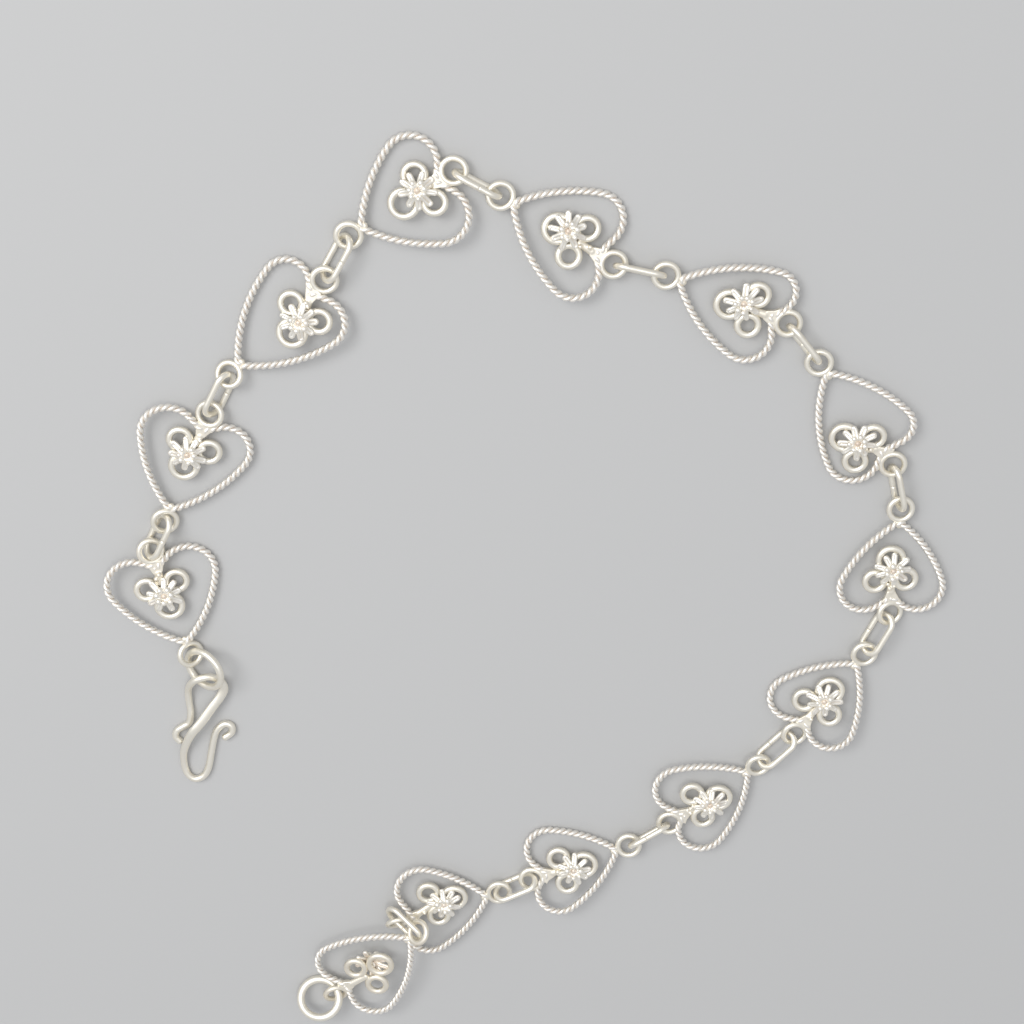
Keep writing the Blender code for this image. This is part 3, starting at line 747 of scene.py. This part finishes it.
def build_heart(number, heart, place, materials, chance):
    """The four pieces of one heart: twisted frame, plain rings, solder and flower."""
    node = f"heart_{number:02d}"
    pitch = heart.pitch * HEART_PITCH
    across = heart.across * HALF_WIDTH
    upper_y = pitch - UPPER_RING_SETBACK + heart.along * HALF_WIDTH
    rings_turn = Matrix.Rotation(radians(heart.turn), 4, "Z")
    rings_place = Matrix.Translation((across, upper_y, 0.0)) @ rings_turn
    frame = Shape()
    add_twist(frame, frame_line(heart), chance.uniform(0, 2 * pi))
    add_piece(f"{node}_frame", frame.mesh("frame"), place, materials["twist"], node)
    rings = rings_shape(heart, rings_place)
    add_piece(f"{node}_rings", rings.mesh("rings"), place, materials["wire"], node)
    solder = solder_shape(pitch, across, upper_y, chance)
    add_piece(f"{node}_solder", melted(solder), place, materials["solder"], node)
    flower = flower_shape(heart, rings_place, chance)
    add_piece(f"{node}_flower", flower.mesh("flower"), place, materials["flower"], node)


def heading_step(heading, length):
    return Vector((length * cos(radians(heading)), length * sin(radians(heading)), 0.0))


def tilted(toward, tilt):
    return (
        Matrix.Rotation(radians(toward), 4, "Z")
        @ Matrix.Rotation(-radians(tilt), 4, "Y")
        @ Matrix.Rotation(-radians(toward), 4, "Z")
    )


def add_link(number, place, materials):
    shape = Shape()
    # painted shade toward the link's underside
    shape.tube(link_line(), LINK_WIRE / 2, RING_SIDES, stain_and_shade=darker_below(LINK_UNDERSIDE))
    node = f"link_{number:02d}"
    add_piece(f"{node}_wire", shape.mesh("link"), place, materials["wire"], node)


def build_chain(materials, chance):
    """Hearts and links along the curve; returns the last cleft eye that was reached."""
    tip = CHAIN_START.copy()
    for index, heart in enumerate(HEARTS[:-1]):
        pitch = heart.pitch * HEART_PITCH
        lifted = index == len(LINKS)
        rise = asin((BUNCHED_EYE_HEIGHT - EYE_HEIGHT) / pitch) if lifted else 0.0
        reach = HALF_WIDTH * max(heart.right, heart.left)
        roll = heart.roll * asin((EYE_HEIGHT - FRAME_WIRE / 2) / reach)
        turn = (
            Matrix.Rotation(radians(heart.heading - 90.0), 4, "Z")
            @ Matrix.Rotation(rise, 4, "X")
            @ Matrix.Rotation(roll, 4, "Y")
        )
        build_heart(index + 1, heart, Matrix.Translation(tip) @ turn, materials, chance)
        cleft = tip + turn @ Vector((0.0, pitch, 0.0))
        if lifted:
            return cleft
        link = LINKS[index]
        next_tip = cleft + heading_step(link.heading, link.span * LINK_REACH)
        middle = (cleft + next_tip) / 2
        middle.z = FLOOR_LIFT + LINK_WIRE / 2 + LINK_SPREAD / 2 * abs(sin(radians(link.roll)))
        place = (
            Matrix.Translation(middle)
            @ Matrix.Rotation(radians(link.heading), 4, "Z")
            @ Matrix.Rotation(radians(link.roll), 4, "X")
        )
        add_link(index + 1, place, materials)
        tip = next_tip


def build_bunched_end(cleft, materials, chance):
    """The last link, and the last heart face down; returns that heart's cleft eye."""
    heading, dive, roll = (radians(angle) for angle in BUNCHED_LINK_TURN)
    place = (
        Matrix.Translation(cleft + BUNCHED_LINK_OFFSET)
        @ Matrix.Rotation(heading, 4, "Z")
        @ Matrix.Rotation(dive, 4, "Y")
        @ Matrix.Rotation(roll, 4, "X")
    )
    add_link(len(LINKS) + 1, place, materials)
    heart = HEARTS[-1]
    pitch = heart.pitch * HEART_PITCH
    tip = cleft + LAST_TIP_OFFSET
    rise = asin((LAST_CLEFT_HEIGHT + FLOOR_LIFT - tip.z) / pitch)
    turn = (
        Matrix.Rotation(radians(heart.heading - 90.0), 4, "Z")
        @ Matrix.Rotation(rise, 4, "X")
        @ Matrix.Rotation(pi + radians(LAST_ROLL), 4, "Y")
    )
    build_heart(len(HEARTS), heart, Matrix.Translation(tip) @ turn, materials, chance)
    return tip + turn @ Vector((0.0, pitch, 0.0))


def build_large_ring(node, eye, offset, outer, wire, toward, tilt, cut, material):
    """A round ring through an eye, with its cut at an angle from its lifted side, or none."""
    radius = (outer - wire) / 2
    centre = eye + offset
    centre.z = FLOOR_LIFT + wire / 2 + radius * sin(radians(tilt))
    shape = Shape()
    line = circle_line(radius, LARGE_RING_STEPS)
    if cut is None:
        shape.tube(line, wire / 2, HOOK_SIDES, closed=True)
    else:
        first = floor((toward + cut) / 360 * LARGE_RING_STEPS) % LARGE_RING_STEPS
        shape.tube(line[first:] + line[:first], wire / 2, HOOK_SIDES)
    place = Matrix.Translation(centre) @ tilted(toward, tilt)
    add_piece(f"{node}_wire", shape.mesh(node), place, material, node)


def build_hook(material):
    level = HOOK_WIRE + CLEARANCE
    knots = [
        Vector((across * HOOK_LENGTH, along * HOOK_LENGTH, HOOK_WIRE / 2 + height * level))
        for across, along, height in HOOK_LINE
    ]

    def hammered(index):
        knot = index / HOOK_CURVE_STEPS
        coming = min(max((knot - HAMMER_FROM) / HAMMER_FADES_IN, 0.0), 1.0)
        going = min(max((HAMMER_TO - knot) / HAMMER_FADES_OUT, 0.0), 1.0)
        share = coming * going
        return 1.0 - HAMMER_LOWER * share, 1.0 + HAMMER_WIDER * share

    shape = Shape()
    line = smooth_curve(knots, HOOK_CURVE_STEPS)
    shape.tube(line, HOOK_WIRE / 2, HOOK_SIDES, flatten=hammered)
    top = Vector((CHAIN_START.x, CHAIN_START.y, FLOOR_LIFT)) + HOOK_TOP_OFFSET
    add_piece("s_hook_wire", shape.mesh("s_hook"), Matrix.Translation(top), material, "s_hook")


def add_lamp(lamp):
    """A soft square lamp that looks at the bracelet from a side, given in degrees from +X."""
    light = bpy.data.lights.new(lamp.name, "AREA")
    light.energy = lamp.energy
    light.size = lamp.size
    holder = bpy.data.objects.new(lamp.name, light)
    bpy.context.scene.collection.objects.link(holder)
    direction = heading_step(lamp.side, cos(radians(lamp.height)))
    direction.z = sin(radians(lamp.height))
    holder.location = direction * lamp.distance
    holder.rotation_mode = "QUATERNION"
    holder.rotation_quaternion = direction.to_track_quat("Z", "Y")


def build_floor():
    corners = [(-1, -1), (1, -1), (1, 1), (-1, 1)]
    floor_mesh = bpy.data.meshes.new("floor")
    floor_mesh.from_pydata(
        [(FLOOR_HALF * x, FLOOR_HALF * y, 0.0) for x, y in corners], [], [(0, 1, 2, 3)]
    )
    paper = bpy.data.materials.new("paper")
    paper.use_nodes = True
    shader = paper.node_tree.nodes["Principled BSDF"]
    shader.inputs["Base Color"].default_value = FLOOR_COLOUR
    shader.inputs["Roughness"].default_value = FLOOR_ROUGHNESS
    floor_mesh.materials.append(paper)
    floor_piece = bpy.data.objects.new("floor", floor_mesh)
    bpy.context.scene.collection.objects.link(floor_piece)


def build_studio():
    build_floor()
    world = bpy.data.worlds.new("studio")
    world.use_nodes = True
    sky = world.node_tree.nodes["Background"]
    sky.inputs["Color"].default_value = SKY_COLOUR
    sky.inputs["Strength"].default_value = SKY_STRENGTH
    bpy.context.scene.world = world
    for lamp in LAMPS:
        add_lamp(lamp)
    bpy.context.scene.view_settings.view_transform = "Standard"


def build_camera():
    side = Matrix.Rotation(radians(CAMERA_SIDE), 4, "Z")
    turn = side @ Matrix.Rotation(radians(CAMERA_LEAN), 4, "X") @ side.inverted()
    lens = bpy.data.cameras.new("camera")
    lens.lens = CAMERA_LENS
    lens.clip_start = CAMERA_NEAR * MM
    camera = bpy.data.objects.new("camera", lens)
    bpy.context.scene.collection.objects.link(camera)
    spot = (CAMERA_AIM + turn @ Vector((0.0, 0.0, CAMERA_DISTANCE))) * MM
    camera.matrix_world = Matrix.Translation(spot) @ turn
    bpy.context.scene.camera = camera


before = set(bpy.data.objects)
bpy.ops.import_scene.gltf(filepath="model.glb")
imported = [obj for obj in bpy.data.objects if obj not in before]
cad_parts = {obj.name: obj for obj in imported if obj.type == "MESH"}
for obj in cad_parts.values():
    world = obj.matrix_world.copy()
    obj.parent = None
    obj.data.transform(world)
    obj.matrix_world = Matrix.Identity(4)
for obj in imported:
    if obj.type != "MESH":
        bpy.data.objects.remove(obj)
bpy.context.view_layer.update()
silvers = {part: silver(look) for part, look in SILVERS.items()}
seeded = Random(SEED)
bunched_cleft = build_chain(silvers, seeded)
last_cleft = build_bunched_end(bunched_cleft, silvers, seeded)
build_large_ring(
    "hook_ring", CHAIN_START, HOOK_RING_OFFSET, HOOK_RING_OUTER, HOOK_WIRE,
    HOOK_RING_TOWARD, HOOK_RING_TILT, HOOK_RING_CUT, silvers["wire"],
)
build_large_ring(
    "end_ring", last_cleft, END_RING_OFFSET, END_RING_OUTER, END_RING_WIRE,
    END_RING_TOWARD, END_RING_TILT, None, silvers["wire"],
)
build_hook(silvers["wire"])
build_studio()
build_camera()
